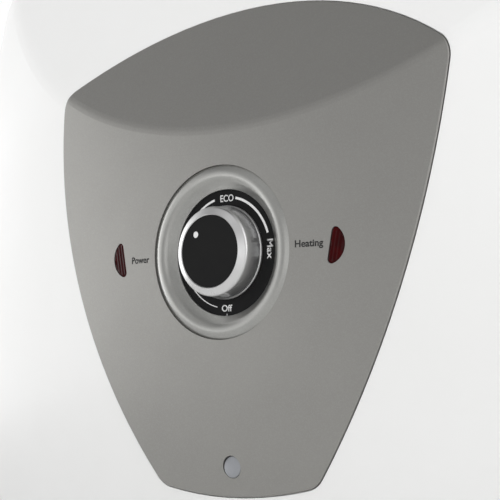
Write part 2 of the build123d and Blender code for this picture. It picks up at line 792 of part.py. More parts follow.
holders = []
tubes = []
for side in (-1, 1):
    sleeve_shape = lens_shape(side, lens_flange + holder_wall) - lens_shape(side, lens_flange + 0.2)
    holder_tube = prism(sleeve_shape, holder_front - lens_rim, holder_front + holder_length)
    holder_back = prism(lens_shape(side, lens_flange + holder_wall), holder_front + holder_length,
                        holder_front + holder_length + holder_wall)
    holders.append(holder_tube + holder_back)
    middle = side * (lens_x + 0.42 * lens_width)
    lamp_end = holder_front + holder_length
    tubes.append(rod(lamp_radius, lamp_end - lamp_length, lamp_end, middle, 0))

save("power_lens", lens(-1))
save("heating_lens", lens(1))
save("lamp_holders", together(holders))
save("lamp_tubes", together(tubes))

# ---- bezel, dial and knob ----

bezel = turned([
    (bezel_inner, well_front), (bezel_inner, dial_depth - bezel_foot),
    (bezel_inner + bezel_crown_reach, -bezel_crown), (bezel_radius, bezel_groove),
    (bezel_radius, well_front)],
    ((2, bezel_crown_round),))
dial = rod(bezel_inner - 0.1, dial_depth, well_front) - rod(dial_hole, 0, well_front + 1)

knob_back = dial_depth - knob_lift
skirt = turned([
    (inlay_radius, -knob_front + inlay_sink), (inlay_radius + 0.35, -knob_front),
    (knob_radius, knob_rim_fall - knob_front), (knob_base_radius - knob_lip, knob_back - 1.4),
    (knob_base_radius, knob_back - 0.9),
    (knob_base_radius, knob_back), (knob_radius - knob_wall, knob_back),
    (knob_radius - knob_wall, -knob_front + inlay_sink + inlay_thickness + 1.4),
    (6.0, -knob_front + inlay_sink + inlay_thickness + 1.4), (6.0, knob_back),
    (spindle_radius + weld_clearance, knob_back), (spindle_radius + weld_clearance, spindle_front),
    (0.0, spindle_front), (0.0, -knob_front + inlay_sink + inlay_thickness),
    (inlay_radius, -knob_front + inlay_sink + inlay_thickness)],
    ((2, knob_rim_round),))
inlay_front = -knob_front + inlay_sink
inlay = rod(inlay_radius - 0.05, inlay_front, inlay_front + inlay_thickness)
dot_turn = math.radians(dot_angle)
dot_x = -dot_reach * math.sin(dot_turn)
dot_z = dot_reach * math.cos(dot_turn)
inlay -= rod(dot_radius, inlay_front - 1, inlay_front + 0.8, dot_x, dot_z)
dot = rod(dot_radius, inlay_front + dot_sink, inlay_front + 0.8, dot_x, dot_z)
spring = rod(spindle_radius + 0.9, spindle_front + 1, spindle_front + 4)
spring -= rod(spindle_radius + 0.3, spindle_front, spindle_front + 5)
skirt -= rod(spindle_radius + 0.9, spindle_front + 1, spindle_front + 4)

save("bezel_ring", bezel)
save("dial_plate", dial)
save("knob_skirt", skirt)
save("knob_inlay", inlay)
save("knob_dot", dot)
save("knob_spring", spring)

# ---- terminals, gland and leads ----

block_front = flange_front - block_thickness
block_sketch = Pos(0, -block_drop) * RectangleRounded(block_width, block_height, 1.5)
block = prism(block_sketch, block_front, flange_front)
terminal_screws = []
pole_places = [(number - (block_poles - 1) / 2) * block_pitch for number in range(block_poles)]
for x in pole_places:
    block -= rod(3.2, block_front - 1, block_front + 4, x, -block_drop)
    terminal_screws.append(rod(2.6, block_front + 1, block_front + 4, x, -block_drop))
earth = rod(earth_radius, flange_front - earth_head, flange_front, *earth_place)

gland = upright(gland_thread, casing_low, casing_low + gland_rise, 0, gland_y)
gland_hex = Pos(0, gland_y, casing_low - gland_drop) * extrude(
    RegularPolygon(gland_flats / 2, 6, major_radius=False), amount=gland_drop)
gland_cone = Pos(0, gland_y, casing_low - gland_drop / 2) * Cylinder(gland_flats / 2 + 1, gland_drop)
gland_cone = fillet(gland_cone.edges().filter_by(GeomType.CIRCLE).sort_by(Axis.Z)[0], 3.0)
gland = gland + (gland_hex & gland_cone)
gland -= upright(gland_bore, casing_low - gland_drop - 1, casing_low + gland_rise + 1, 0, gland_y)
nut_low = casing_low + casing_wall
gland_nut = Pos(0, gland_y, nut_low) * extrude(
    RegularPolygon(gland_flats / 2, 6, major_radius=False), amount=gland_nut_thickness)
gland_nut -= upright(gland_thread + weld_clearance, nut_low - over, nut_low + gland_nut_thickness + over,
                     0, gland_y)

save("terminal_block", block)
save("terminal_screws", together(terminal_screws))
save("earth_screw", earth)
save("cable_gland", gland)
save("gland_nut", gland_nut)

# Leads run as (x, depth, z) points, from a terminal's face to the next one's.
stat_tip = stat_front - blade_length
cutout_tip = cutout_front - blade_length
pole_top = block_height / 2 - block_drop
pole_depth = block_front + 2
left_pole, middle_pole, right_pole = pole_places
pin_drop = -sleeve_place[1]
earth_x, earth_z = earth_place
holder_end = holder_front + holder_length + holder_wall

line_lead = lead([
    (left_pole, pole_depth, pole_top), (left_pole, pole_depth, -47), (-16, 45, -40), (-24, 34, -27),
    (-28, 24, -8), (-26, 17, 12), (-19, 14, 26), (-stat_blade_x, 17, stat_blade_z),
    (-stat_blade_x, stat_tip, stat_blade_z)])
link_lead = lead([
    (stat_blade_x, stat_tip, stat_blade_z), (stat_blade_x, 19, stat_blade_z), (16, 15, 33), (23, 18, 34),
    (cutout_x - 6, 28, cutout_blade_z), (cutout_x - 6, cutout_tip, cutout_blade_z)])
element_lead = lead([
    (cutout_x + 6, cutout_tip, cutout_blade_z), (cutout_x + 6, 30, cutout_blade_z), (42, 24, 14),
    (42, 22, -2),
    (35, 24, -16), (23, 28, -27), (12, 32, -pin_drop + 1), (pin_spread, 37, -pin_drop),
    (pin_spread, pin_front, -pin_drop)])
neutral_lead = lead([
    (middle_pole, pole_depth, pole_top), (middle_pole, pole_depth, -49), (-3, 45, -44), (-7, 37.5, -38),
    (-pin_spread, 37, -pin_drop), (-pin_spread, pin_front, -pin_drop)])
earth_lead = lead([
    (right_pole, pole_depth, pole_top), (right_pole, pole_depth, -48), (20, 46, -41), (33, 43.5, -34),
    (45, 46, -24), (earth_x, 53, earth_z), (earth_x, flange_front - earth_head, earth_z)])
lamp_leads = []
for side in (-1, 1):
    lamp_leads.append(lead([
        (side * 62, holder_end, 0), (side * 62, 31, 0), (side * 60, 39, -12), (side * 54, 44, -28),
        (side * 43, 49, -45), (side * 30, 55, -block_drop), (side * block_width / 2, 55, -block_drop)]))

save("line_lead", line_lead)
save("link_lead", link_lead)
save("element_lead", element_lead)
save("neutral_lead", neutral_lead)
save("earth_lead", earth_lead)
save("lamp_leads", together(lamp_leads))
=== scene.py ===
import math

import bmesh
import bpy
from mathutils import Matrix, Vector


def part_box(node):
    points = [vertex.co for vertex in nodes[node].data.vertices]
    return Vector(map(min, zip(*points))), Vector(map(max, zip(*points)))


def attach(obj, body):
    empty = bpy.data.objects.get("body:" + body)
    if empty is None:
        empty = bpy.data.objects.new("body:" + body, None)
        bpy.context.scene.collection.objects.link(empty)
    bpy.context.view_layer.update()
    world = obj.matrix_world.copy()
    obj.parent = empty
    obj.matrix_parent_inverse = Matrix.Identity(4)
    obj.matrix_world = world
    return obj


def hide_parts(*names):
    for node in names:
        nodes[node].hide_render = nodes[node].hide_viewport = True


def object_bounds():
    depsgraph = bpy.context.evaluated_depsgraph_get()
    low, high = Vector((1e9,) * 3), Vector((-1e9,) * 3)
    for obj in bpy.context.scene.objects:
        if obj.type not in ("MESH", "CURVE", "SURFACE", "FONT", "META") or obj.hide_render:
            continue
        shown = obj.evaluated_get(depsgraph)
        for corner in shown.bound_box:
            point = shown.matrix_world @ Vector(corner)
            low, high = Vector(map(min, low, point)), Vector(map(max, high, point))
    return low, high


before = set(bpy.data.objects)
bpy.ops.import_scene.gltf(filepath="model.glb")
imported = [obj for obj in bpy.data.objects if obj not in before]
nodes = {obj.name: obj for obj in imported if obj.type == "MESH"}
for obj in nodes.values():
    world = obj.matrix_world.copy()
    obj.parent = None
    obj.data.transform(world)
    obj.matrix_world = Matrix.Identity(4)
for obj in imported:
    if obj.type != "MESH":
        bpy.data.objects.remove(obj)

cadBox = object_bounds()
scene = bpy.context.scene
mm = 0.001
print("frame loaded:", len(nodes), "nodes")


# ---- places taken from the frame ----

ringLow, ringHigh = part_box("bezel_ring")
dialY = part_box("dial_plate")[0].y

# the front form that the cover and the casing share: a dome with a sloped facet above
frontForm = {
    "domeRadius": 595.0 * mm,
    "domeRise": 2.1 * mm,
    "dialDepth": 4.25 * mm,     # dial plate behind the cover's face
}
knobX = (ringLow.x + ringHigh.x) / 2
knobZ = (ringLow.z + ringHigh.z) / 2
faceY = dialY - frontForm["dialDepth"]


def domeY(x, z, proud=0.0):
    # y of the cover's face at x and z measured from the knob axis
    radius = frontForm["domeRadius"]
    return faceY + radius - frontForm["domeRise"] - math.sqrt(radius ** 2 - x ** 2 - z ** 2) - proud


# ---- camera ----

camera = {
    "place": (0.5612, -1.0675, -0.1632),
    "turn": 39.06,      # degrees to the left of straight at the wall
    "tilt": 4.52,       # degrees upward
    "roll": -0.579,
    "lens": 132.7,
}


def aimCamera(look):
    turn, tilt, roll = (math.radians(look[key]) for key in ("turn", "tilt", "roll"))
    forward = Vector((-math.sin(turn) * math.cos(tilt), math.cos(turn) * math.cos(tilt), math.sin(tilt)))
    level = Vector((math.cos(turn), math.sin(turn), 0.0))
    rise = level.cross(forward)
    right = math.cos(roll) * level + math.sin(roll) * rise
    up = math.cos(roll) * rise - math.sin(roll) * level
    data = bpy.data.cameras.new("productCamera")
    data.lens = look["lens"]
    data.sensor_width = 36.0
    data.clip_start = 0.01
    data.clip_end = 50.0
    holder = bpy.data.objects.new("productCamera", data)
    scene.collection.objects.link(holder)
    facing = Matrix((right, up, -forward)).transposed().to_4x4()
    holder.matrix_world = Matrix.Translation(look["place"]) @ facing
    scene.camera = holder


aimCamera(camera)
print("camera aimed")


# ---- effects shared by several finishes ----

def newGroup(name, inputs, outputs):
    group = bpy.data.node_groups.new(name, "ShaderNodeTree")
    for label, value in inputs:
        kind = "NodeSocketVector" if isinstance(value, tuple) else "NodeSocketFloat"
        socket = group.interface.new_socket(label, in_out="INPUT", socket_type=kind)
        socket.default_value = value
    for label in outputs:
        group.interface.new_socket(label, in_out="OUTPUT", socket_type="NodeSocketFloat")
    entry = group.nodes.new("NodeGroupInput")
    leave = group.nodes.new("NodeGroupOutput")
    return group, entry, leave


def addNode(tree, kind, **settings):
    node = tree.nodes.new(kind)
    for key, value in settings.items():
        setattr(node, key, value)
    return node


def addMath(tree, operation, first, second, clamp=False):
    node = addNode(tree, "ShaderNodeMath", operation=operation, use_clamp=clamp)
    for socket, value in zip(node.inputs, (first, second)):
        if isinstance(value, (int, float)):
            socket.default_value = value
        else:
            tree.links.new(value, socket)
    return node.outputs[0]


def addNoise(tree, vector, scale, detail=2.0, rough=0.5):
    node = addNode(tree, "ShaderNodeTexNoise")
    node.inputs["Detail"].default_value = detail
    node.inputs["Roughness"].default_value = rough
    tree.links.new(vector, node.inputs["Vector"])
    if isinstance(scale, (int, float)):
        node.inputs["Scale"].default_value = scale
    else:
        tree.links.new(scale, node.inputs["Scale"])
    return node.outputs["Fac"]


def addSpread(tree, value, low, high, toLow=0.0, toHigh=1.0):
    node = addNode(tree, "ShaderNodeMapRange")
    for socket, number in zip(("From Min", "From Max", "To Min", "To Max"), (low, high, toLow, toHigh)):
        if isinstance(number, (int, float)):
            node.inputs[socket].default_value = number
        else:
            tree.links.new(number, node.inputs[socket])
    tree.links.new(value, node.inputs["Value"])
    return node.outputs["Result"]


def makeGrain():
    # fine paint or mould grain: a height, and a mask of the brighter flakes
    group, entry, leave = newGroup("fineGrain", [("Scale", 1500.0), ("Coarse", 0.4), ("Flakes", 0.3)],
                                   ["Height", "Flake"])
    point = addNode(group, "ShaderNodeTexCoord").outputs["Object"]
    fine = addNoise(group, point, entry.outputs["Scale"], 2.0, 0.6)
    coarseScale = addMath(group, "MULTIPLY", entry.outputs["Scale"], 0.28)
    coarse = addNoise(group, point, coarseScale, 1.0)
    coarsePart = addMath(group, "MULTIPLY", coarse, entry.outputs["Coarse"])
    group.links.new(addMath(group, "ADD", fine, coarsePart), leave.inputs["Height"])
    cells = addNode(group, "ShaderNodeTexVoronoi")
    group.links.new(point, cells.inputs["Vector"])
    group.links.new(entry.outputs["Scale"], cells.inputs["Scale"])
    parts = addNode(group, "ShaderNodeSeparateColor")
    group.links.new(cells.outputs["Color"], parts.inputs["Color"])
    bright = addSpread(group, parts.outputs["Red"], 0.45, 1.0)
    group.links.new(addMath(group, "MULTIPLY", bright, entry.outputs["Flakes"], True), leave.inputs["Flake"])
    return group


def makeMottle():
    # slow uneven areas, as handling and moulding leave them
    group, entry, leave = newGroup("softMottle", [("Scale", 25.0), ("Low", 0.3), ("High", 0.4)],
                                   ["Value", "Mask"])
    point = addNode(group, "ShaderNodeTexCoord").outputs["Object"]
    cloud = addNoise(group, point, entry.outputs["Scale"], 4.0, 0.6)
    group.links.new(addSpread(group, cloud, 0.3, 0.7, entry.outputs["Low"], entry.outputs["High"]),
                    leave.inputs["Value"])
    group.links.new(addSpread(group, cloud, 0.35, 0.65), leave.inputs["Mask"])
    return group


def makeBrush():
    # drawn lines, longest along the axis with the smallest stretch
    group, entry, leave = newGroup("brushLines", [("Stretch", (1.0, 1.0, 1.0)), ("Scale", 900.0)],
                                   ["Height", "Streak"])
    point = addNode(group, "ShaderNodeTexCoord").outputs["Object"]
    drawn = addNode(group, "ShaderNodeVectorMath", operation="MULTIPLY")
    group.links.new(point, drawn.inputs[0])
    group.links.new(entry.outputs["Stretch"], drawn.inputs[1])
    lines = addNoise(group, drawn.outputs["Vector"], entry.outputs["Scale"], 3.0, 0.7)
    group.links.new(lines, leave.inputs["Height"])
    group.links.new(addSpread(group, lines, 0.4, 0.7), leave.inputs["Streak"])
    return group


def makeDust():
    # a thin film on what faces up, broken by noise
    group, entry, leave = newGroup("settledDust", [("Amount", 0.2)], ["Mask"])
    facing = addNode(group, "ShaderNodeSeparateXYZ")
    group.links.new(addNode(group, "ShaderNodeNewGeometry").outputs["Normal"], facing.inputs["Vector"])
    upward = addSpread(group, facing.outputs["Z"], 0.35, 1.0)
    point = addNode(group, "ShaderNodeTexCoord").outputs["Object"]
    broken = addSpread(group, addNoise(group, point, 90.0, 5.0, 0.65), 0.35, 0.75)
    film = addMath(group, "MULTIPLY", upward, broken)
    group.links.new(addMath(group, "MULTIPLY", film, entry.outputs["Amount"], True), leave.inputs["Mask"])
    return group


def makeWear():
    # rubbed corners: where the surface turns sharply, broken by noise
    group, entry, leave = newGroup("edgeWear", [("Amount", 0.3), ("Scale", 300.0)], ["Mask"])
    sharp = addSpread(group, addNode(group, "ShaderNodeNewGeometry").outputs["Pointiness"], 0.53, 0.62)
    point = addNode(group, "ShaderNodeTexCoord").outputs["Object"]
    broken = addSpread(group, addNoise(group, point, entry.outputs["Scale"], 3.0), 0.35, 0.6)
    rubbed = addMath(group, "MULTIPLY", sharp, broken)
    group.links.new(addMath(group, "MULTIPLY", rubbed, entry.outputs["Amount"], True), leave.inputs["Mask"])
    return group


effects = {
    "grain": makeGrain(),
    "mottle": makeMottle(),
    "brush": makeBrush(),
    "dust": makeDust(),
    "wear": makeWear(),
}
print("effects made:", len(effects))


def place(tree, effect, **values):
    node = addNode(tree, "ShaderNodeGroup", node_tree=effects[effect])
    for key, value in values.items():
        node.inputs[key].default_value = value
    return node


def mixColour(tree, mask, first, second):
    node = addNode(tree, "ShaderNodeMix", data_type="RGBA")
    tree.links.new(mask, node.inputs[0])
    for socket, colour in ((node.inputs[6], first), (node.inputs[7], second)):
        if isinstance(colour, tuple):
            socket.default_value = (*colour, 1.0)
        else:
            tree.links.new(colour, socket)
    return node.outputs[2]


dustColour = (0.55, 0.53, 0.50)


def makeFinish(name, look):
    material = bpy.data.materials.new(name)
    material.use_nodes = True
    tree = material.node_tree
    shader = tree.nodes["Principled BSDF"]
    for socket, value in look.get("shader", {}).items():
        shader.inputs[socket].default_value = value
    mottle = place(tree, "mottle", Scale=look["mottleScale"], Low=look["rough"][0], High=look["rough"][1])
    colour = mixColour(tree, mottle.outputs["Mask"], *look["colours"])
    heights = []
    if "grain" in look:
        scale, coarse, flakes = look["grain"]
        grain = place(tree, "grain", Scale=scale, Coarse=coarse, Flakes=flakes)
        heights.append(grain.outputs["Height"])
        if "flakeColour" in look:
            colour = mixColour(tree, grain.outputs["Flake"], colour, look["flakeColour"])
    if "brush" in look:
        stretch, scale = look["brush"]
        brush = place(tree, "brush", Stretch=stretch, Scale=scale)
        heights.append(brush.outputs["Height"])
        if "streakColour" in look:
            colour = mixColour(tree, brush.outputs["Streak"], colour, look["streakColour"])
    if "wear" in look:
        wear = place(tree, "wear", Amount=look["wear"])
        colour = mixColour(tree, wear.outputs["Mask"], colour, look["wearColour"])
    if "dust" in look:
        dust = place(tree, "dust", Amount=look["dust"])
        colour = mixColour(tree, dust.outputs["Mask"], colour, dustColour)
    tree.links.new(colour, shader.inputs["Base Color"])
    tree.links.new(mottle.outputs["Value"], shader.inputs["Roughness"])
    if heights:
        bump = addNode(tree, "ShaderNodeBump")
        bump.inputs["Strength"].default_value = look["bump"][0]
        bump.inputs["Distance"].default_value = look["bump"][1] * mm
        height = heights[0] if len(heights) == 1 else addMath(tree, "ADD", *heights)
        tree.links.new(height, bump.inputs["Height"])
        tree.links.new(bump.outputs["Normal"], shader.inputs["Normal"])
    return material


def dress(look):
    # gives the CAD nodes that a look names its finish
    material = makeFinish(look["finish"], look)
    for name in look["nodes"]:
        node = nodes[name]
        node.data.materials.clear()
        node.data.materials.append(material)
        for face in node.data.polygons:
            face.material_index = 0
    return material


# ---- casing ----

casing = {
    "finish": "glossWhite",
    "nodes": ("front_shell", "rear_shell"),
    "colours": ((0.885, 0.885, 0.88), (0.87, 0.87, 0.862)),
    "mottleScale": 9.0,
    "rough": (0.30, 0.38),
    "grain": (1100.0, 0.8, 0.0),
    "bump": (0.05, 0.02),
    "dust": 0.05,
    "shader": {"Coat Weight": 0.15, "Coat Roughness": 0.12, "Specular IOR Level": 0.45},
}
dress(casing)

# ---- control cover and bezel ----

cover = {
    "finish": "satinGreyPaint",
    "nodes": ("control_cover",),
    "colours": ((0.342, 0.336, 0.320), (0.328, 0.322, 0.307)),
    "mottleScale": 14.0,
    "rough": (0.40, 0.44),
    "grain": (2300.0, 0.4, 0.4),
    "flakeColour": (0.39, 0.388, 0.372),
    "bump": (0.20, 0.03),
    "shader": {"Metallic": 0.75, "Specular IOR Level": 0.4},
}
dress(cover)

bezel = {
    "finish": "satinGreyRing",
    "nodes": ("bezel_ring",),
    "colours": ((0.44, 0.44, 0.424), (0.42, 0.42, 0.404)),
    "mottleScale": 20.0,
    "rough": (0.28, 0.32),
    "grain": (2200.0, 0.5, 0.4),
    "flakeColour": (0.50, 0.50, 0.48),
    "bump": (0.18, 0.03),
    "shader": {"Metallic": 0.85},
}
dress(bezel)

# ---- dial and knob ----

blackParts = {
    "finish": "satinBlack",
    "nodes": ("dial_plate", "knob_inlay"),
    "colours": ((0.0115, 0.0115, 0.012), (0.0135, 0.0135, 0.0135)),
    "mottleScale": 60.0,
    "rough": (0.42, 0.52),
    "grain": (2600.0, 0.3, 0.0),
    "bump": (0.10, 0.02),
    "shader": {"Specular IOR Level": 0.06},
}
dress(blackParts)

knobMetal = {
    "finish": "satinSilver",
    "nodes": ("knob_skirt",),
    "colours": ((0.80, 0.80, 0.80), (0.77, 0.77, 0.77)),
    "mottleScale": 80.0,
    "rough": (0.27, 0.33),
    "grain": (2500.0, 0.2, 0.0),
    "bump": (0.05, 0.02),
    "wear": 0.25,
    "wearColour": (0.95, 0.95, 0.95),
    "shader": {"Metallic": 0.9},
}
dress(knobMetal)

whitePrint = {
    "finish": "whitePrint",
    "nodes": ("knob_dot",),
    "colours": ((0.86, 0.86, 0.86), (0.78, 0.78, 0.78)),
    "mottleScale": 400.0,
    "rough": (0.35, 0.5),
    "grain": (3000.0, 0.3, 0.0),
    "bump": (0.08, 0.02),
}
whiteFinish = dress(whitePrint)
print("front finishes made")


# ---- mesh helpers ----

def addPiece(name, mesh, body, material, smooth=True):
    piece = bpy.data.objects.new(name, mesh)
    scene.collection.objects.link(piece)
    mesh.materials.clear()
    mesh.materials.append(material)
    for face in mesh.polygons:
        face.use_smooth = smooth
        face.material_index = 0
    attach(piece, body)
    return piece


def meshFrom(name, vertices, faces):
    mesh = bpy.data.meshes.new(name)
    mesh.from_pydata(vertices, [], faces)
    solid = bmesh.new()
    solid.from_mesh(mesh)
    bmesh.ops.recalc_face_normals(solid, faces=solid.faces)
    solid.to_mesh(mesh)
    solid.free()
    return mesh


def sharpen(mesh, degrees):
    # hard edges where the surface turns by more than this
    solid = bmesh.new()
    solid.from_mesh(mesh)
    limit = math.radians(degrees)
    for edge in solid.edges:
        edge.smooth = len(edge.link_faces) == 2 and edge.calc_face_angle() < limit
    solid.to_mesh(mesh)
    solid.free()


def turnedMesh(name, profile, steps, toPoint):
    # profile is (radius, height) from the axis outwards and back; toPoint places a ring point
    vertices, faces, rings = [], [], []
    for radius, height in profile:
        if radius < 1e-7:
            rings.append([len(vertices)])
            vertices.append(toPoint(0.0, 0.0, height))
            continue
        start = len(vertices)
        rings.append(list(range(start, start + steps)))
        for step in range(steps):
            angle = 2 * math.pi * step / steps
            vertices.append(toPoint(radius * math.cos(angle), radius * math.sin(angle), height))
    for before, after in zip(rings, rings[1:]):
        for step in range(steps):
            other = (step + 1) % steps
            if len(before) == 1:
                faces.append((before[0], after[other], after[step]))
            elif len(after) == 1:
                faces.append((before[step], before[other], after[0]))
            else:
                faces.append((before[step], before[other], after[other], after[step]))
    mesh = meshFrom(name, vertices, faces)
    sharpen(mesh, 40)
    return mesh


# ---- print on the dial and the cover ----

capitalShare = 0.73     # capital height over letter size


def letterMesh(name, text, height, bold, thickness=0.04 * mm):
    # letters in the x, y plane, centred, with the given capital height
    curve = bpy.data.curves.new(name + "Curve", "FONT")
    curve.body = text
    curve.size = 1.0
    curve.offset = bold
    curve.resolution_u = 6
    curve.align_x = "CENTER"
    holder = bpy.data.objects.new(name + "Curve", curve)
    scene.collection.objects.link(holder)
    bpy.context.view_layer.update()
    mesh = bpy.data.meshes.new_from_object(holder)
    bpy.data.objects.remove(holder)
    bpy.data.curves.remove(curve)
    scale = height / capitalShare
    for vertex in mesh.vertices:
        vertex.co = Vector((vertex.co.x * scale, vertex.co.y * scale, 0.0))
    solid = bmesh.new()
    solid.from_mesh(mesh)
    bmesh.ops.remove_doubles(solid, verts=solid.verts, dist=1e-7)
    made = bmesh.ops.extrude_face_region(solid, geom=solid.faces[:])
    raised = [item for item in made["geom"] if isinstance(item, bmesh.types.BMVert)]
    bmesh.ops.translate(solid, verts=raised, vec=(0.0, 0.0, thickness))
    bmesh.ops.recalc_face_normals(solid, faces=solid.faces)
    solid.to_mesh(mesh)
    solid.free()
    mesh.name = name
    return mesh


def stretchTo(mesh, low, high):
    # fits the letters' width between two x values
    left = min(vertex.co.x for vertex in mesh.vertices)
    right = max(vertex.co.x for vertex in mesh.vertices)
    for vertex in mesh.vertices:
        vertex.co.x = low + (vertex.co.x - left) * (high - low) / (right - left)


dialPrint = {
    "bold": 0.018,
    "words": (
        # text, shift sideways, distance of its baseline from the axis, its own turn, width, capitals
        ("ECO", 0.55 * mm, 24.45 * mm, 0.0, 8.2 * mm, 3.4 * mm),
        ("Off", 0.0 * mm, -28.05 * mm, 0.0, 6.4 * mm, 3.2 * mm),
        ("Max", 0.25 * mm, 24.90 * mm, 90.0, 9.4 * mm, 3.6 * mm),
    ),
    "arcRadius": 26.5 * mm,
    "arcs": ((-167.0, -15.5), (12.8, 72.4)),
    "arcWidth": (0.36 * mm, 1.2 * mm),
    "arcThickness": 0.04 * mm,
    "tickWidth": 0.5 * mm,
    "tickFrom": 29.2 * mm,
    "tickTo": 30.1 * mm,
}


def dialWord(look, text, shift, radius, turn, width, height):
    mesh = letterMesh("dial" + text, text, height, look["bold"])
    stretchTo(mesh, -width / 2, width / 2)
    turnBy = math.radians(turn)
    for vertex in mesh.vertices:
        across, along, out = vertex.co
        if turn:
            # letters stand outwards from the axis and read downwards
            x = (radius + along) * math.sin(turnBy)
            z = shift - across
        else:
            x = across + shift
            z = radius + along
        vertex.co = Vector((knobX + x, dialY - out, knobZ + z))
    return addPiece("dial" + text, mesh, "heater", whiteFinish)


def dialArc(look, number, first, last):
    widest = look["arcs"][-1][1] - look["arcs"][0][0]
    steps = int(abs(last - first) / 1.5) + 1
    vertices, faces = [], []
    for step in range(steps + 1):
        angle = first + (last - first) * step / steps
        share = min(1.0, (angle - look["arcs"][0][0]) / (widest * 0.75))
        half = (look["arcWidth"][0] + (look["arcWidth"][1] - look["arcWidth"][0]) * share) / 2
        a = math.radians(angle)
        for radius, out in ((-half, 0), (half, 0), (half, 1), (-half, 1)):
            reach = look["arcRadius"] + radius
            vertices.append((knobX + reach * math.sin(a), dialY - out * look["arcThickness"],
                             knobZ + reach * math.cos(a)))
    for step in range(steps):
        base = step * 4
        for side in range(4):
            other = (side + 1) % 4
            faces.append((base + side, base + other, base + 4 + other, base + 4 + side))
    faces.append((0, 1, 2, 3))
    end = steps * 4
    faces.append((end, end + 1, end + 2, end + 3))
    mesh = meshFrom("dialArc" + str(number), vertices, faces)
    return addPiece("dialArc" + str(number), mesh, "heater", whiteFinish, smooth=False)


for word in dialPrint["words"]:
    dialWord(dialPrint, *word)
for number, (first, last) in enumerate(dialPrint["arcs"]):
    dialArc(dialPrint, number, first, last)


def dialTick(look):
    half, thick = look["tickWidth"] / 2, look["arcThickness"]
    corners = [(-half, -look["tickTo"]), (half, -look["tickTo"]), (0.3 * half, -look["tickFrom"]),
               (-0.3 * half, -look["tickFrom"])]
    vertices = [(knobX + x, dialY - out, knobZ + z) for out in (0.0, thick) for x, z in corners]
    faces = [(0, 1, 2, 3), (4, 5, 6, 7)] + [(i, (i + 1) % 4, (i + 1) % 4 + 4, i + 4) for i in range(4)]
    addPiece("dialTick", meshFrom("dialTick", vertices, faces), "heater", whiteFinish, False)


dialTick(dialPrint)

coverPrint = {
    "finish": "darkPrint",
    "colours": ((0.016, 0.016, 0.016), (0.024, 0.024, 0.023)),
    "mottleScale": 300.0,
    "rough": (0.4, 0.55),
    "grain": (3000.0, 0.3, 0.0),
    "bump": (0.08, 0.02),
    "height": 3.3 * mm,
    "proud": 0.03 * mm,
    "words": (
        # text, left and right end, baseline above the knob axis, weight
        ("Power", -58.1 * mm, -45.6 * mm, -2.55 * mm, 0.022),
        ("Heating", 44.8 * mm, 60.1 * mm, -0.33 * mm, 0.024),
    ),
}
darkFinish = makeFinish(coverPrint["finish"], coverPrint)


def coverWord(look, text, left, right, base, bold):
    mesh = letterMesh("word" + text, text, look["height"], bold, look["proud"])
    stretchTo(mesh, left, right)
    for vertex in mesh.vertices:
        across, along, out = vertex.co
        z = base + along
        vertex.co = Vector((knobX + across, domeY(across, z, out), knobZ + z))
    return addPiece("word" + text, mesh, "heater", darkFinish)


for word in coverPrint["words"]:
    coverWord(coverPrint, *word)
print("print made")


# ---- lamp lenses ----

lensGlass = {
    "finish": "redLens",
    "colours": ((0.050, 0.0006, 0.0012), (0.026, 0.0005, 0.001)),
    "mottleScale": 150.0,
    "rough": (0.06, 0.12),
    "shader": {"Transmission Weight": 0.15, "IOR": 1.49, "Specular IOR Level": 0.05},
}
lensFinish = makeFinish(lensGlass["finish"], lensGlass)

lamp = {
    "x": 63.5 * mm,         # middle of the straight side from the knob axis
    "width": 7.8 * mm,
    "curve": 9.3 * mm,      # radius of the round side
    "tip": 2.0 * mm,
    "lean": 10.5,           # degrees, tops outwards
    "crown": 0.5 * mm,      # the middle of the face in front of its edge
    "sink": 0.45 * mm,      # edge of the face behind the cover's surface
    "depth": 6.0 * mm,
    "flutes": 4,
    "fluteDepth": 0.9 * mm,
    "ridge": 0.22 * mm,     # the same flutes, faint on the face
    "columns": 24,
    "rows": 48,
}


def lensSpan(look, rise):
    # how far the lens reaches across at this height above or below its middle
    tip, curve = look["tip"], look["curve"]
    middle = look["width"] - curve
    tipRise = math.sqrt((curve - tip) ** 2 - (tip - middle) ** 2)
    meet = tipRise * curve / (curve - tip)
    over = max(0.0, abs(rise) - tipRise)
    corner = math.sqrt(max(0.0, tip ** 2 - over ** 2))
    start = tip - corner if over else 0.0
    end = middle + math.sqrt(curve ** 2 - rise ** 2) if abs(rise) < meet else tip + corner
    return start, max(start, end)


